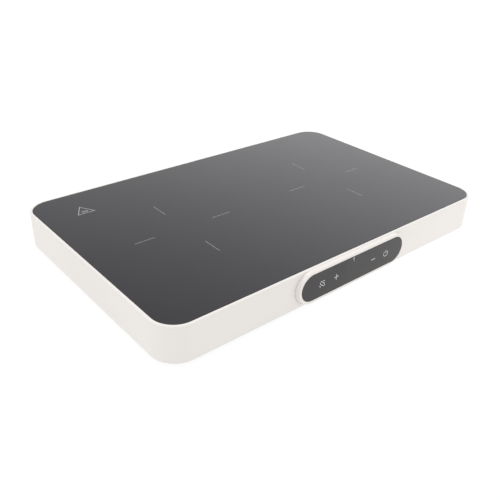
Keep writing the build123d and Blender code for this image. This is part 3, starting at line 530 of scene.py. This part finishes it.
PILOT_TICK = ((-6.2 * MM, 15.4 * MM), (-4.6 * MM, 18.4 * MM))
PILOT_TICK_LINE = 1.2 * MM
PILOT_DOT = ((-4.8 * MM, 14.2 * MM), (-4.2 * MM, 12.8 * MM))
PILOT_DOT_LINE = 0.8 * MM


def pilot_strokes():
    """A short slanted tick and a dot near the top edge of the lens."""
    return [(PILOT_TICK, PILOT_TICK_LINE, False), (PILOT_DOT, PILOT_DOT_LINE, False)]


def make_prints():
    """The marks on the glass and on the lens, each surface with its own ink."""
    glass_ink = printed_ink("glass_ink", (0.31, 0.31, 0.32)).material
    key_ink = printed_ink("key_ink", (0.70, 0.70, 0.71)).material
    print_marks("zone_marks", zone_mark_strokes(), on_glass, glass_ink)
    print_marks("surface_sign", sign_strokes(), on_glass, glass_ink)
    print_marks("key_symbols", key_strokes(), on_lens, key_ink)
    print_marks("pilot_mark", pilot_strokes(), on_lens, key_ink)


# ---- Floor and light --------------------------------------------------------------------------
FLOOR_SIZE = 40.0
FLOOR_GLOW_LEFT = 0.91
FLOOR_GLOW_RIGHT = 1.07
GLOW_TURNS_X = (-60 * MM, 220 * MM)
FLOOR_GREY = 0.12
FLOOR_ROUGHNESS = 0.9
FLOOR_DROP = 0.2 * MM


def make_floor():
    """A plain white floor that glows softly, so it stays white and keeps no shadow.

    It glows a little more on the right, which lights the right end of the front wall.
    """
    m = Shader("floor", (FLOOR_GREY, FLOOR_GREY, FLOOR_GREY), FLOOR_ROUGHNESS)
    m.set(Emission_Color=(1, 1, 1, 1), Specular_IOR_Level=0.0)
    place = m.nodes.new("ShaderNodeSeparateXYZ")
    m.links.new(m.place, place.inputs["Vector"])
    glow = m.nodes.new("ShaderNodeMapRange")
    glow.interpolation_type = "SMOOTHSTEP"
    glow.inputs["From Min"].default_value, glow.inputs["From Max"].default_value = GLOW_TURNS_X
    glow.inputs["To Min"].default_value = FLOOR_GLOW_LEFT
    glow.inputs["To Max"].default_value = FLOOR_GLOW_RIGHT
    m.links.new(place.outputs["X"], glow.inputs["Value"])
    m.links.new(glow.outputs["Result"], m.surface.inputs["Emission Strength"])
    bpy.ops.mesh.primitive_plane_add(size=FLOOR_SIZE, location=(0, 0, -FLOOR_DROP))
    floor = bpy.context.object
    floor.name = "floor"
    floor.data.materials.append(m.material)


SKY_AXIS = Vector((0.68, 0.0, -0.735))
# Each step is how far a direction leans along the axis, from -1 to 1, and how bright it is there.
SKY_STEPS = (
    (-1.0, 1.00),
    (-0.55, 0.88),
    (-0.22, 0.60),
    (0.00, 0.88),
    (0.35, 1.45),
    (0.70, 1.60),
)
SKY_TOP = 2.0
SKY_TINT = Vector((1.0, 0.995, 1.015))


def make_world():
    """A white studio, brightest low on the right and darkest above the middle."""
    world = bpy.data.worlds.new("studio")
    world.use_nodes = True
    nodes, links = world.node_tree.nodes, world.node_tree.links
    sky = nodes["Background"]
    toward = nodes.new("ShaderNodeVectorMath")
    toward.operation = "DOT_PRODUCT"
    toward.inputs[1].default_value = SKY_AXIS
    links.new(nodes.new("ShaderNodeTexCoord").outputs["Generated"], toward.inputs[0])
    unit = nodes.new("ShaderNodeMapRange")
    unit.inputs["From Min"].default_value = -1.0
    links.new(toward.outputs["Value"], unit.inputs["Value"])
    ramp = nodes.new("ShaderNodeValToRGB")
    points = ramp.color_ramp.elements
    for turn, _ in SKY_STEPS[1:-1]:
        points.new((turn + 1) / 2)
    for point, (turn, light) in zip(points, SKY_STEPS):
        point.position = (turn + 1) / 2
        point.color = (*(light / SKY_TOP * SKY_TINT), 1)
    links.new(unit.outputs["Result"], ramp.inputs["Fac"])
    links.new(ramp.outputs["Color"], sky.inputs["Color"])
    sky.inputs["Strength"].default_value = SKY_TOP
    bpy.context.scene.world = world


def make_light(name, place, target, size, power):
    """A soft square light, aimed at the target."""
    data = bpy.data.lights.new(name, "AREA")
    data.size = size
    data.energy = power
    lamp = bpy.data.objects.new(name, data)
    bpy.context.scene.collection.objects.link(lamp)
    lamp.location = place
    lamp.rotation_euler = (Vector(target) - Vector(place)).to_track_quat("-Z", "Y").to_euler()
    lamp.visible_camera = False


# Each light has a name, a place, a target, a size in metres and a power in watts.
LIGHTS = (
    ("overhead", (-0.1, 0.3, 2.4), (0, 0, 0), 1.6, 16),
    ("left", (-1.7, 0.2, 0.7), (-0.3, 0, 0), 1.2, 2.0),
    ("front", (0.2, -1.5, 0.5), (0, -0.2, 0), 1.2, 1.1),
)


make_camera()
dress_cad_nodes()
make_prints()
make_floor()
make_world()
for light in LIGHTS:
    make_light(*light)
bpy.context.scene.view_settings.view_transform = "Standard"
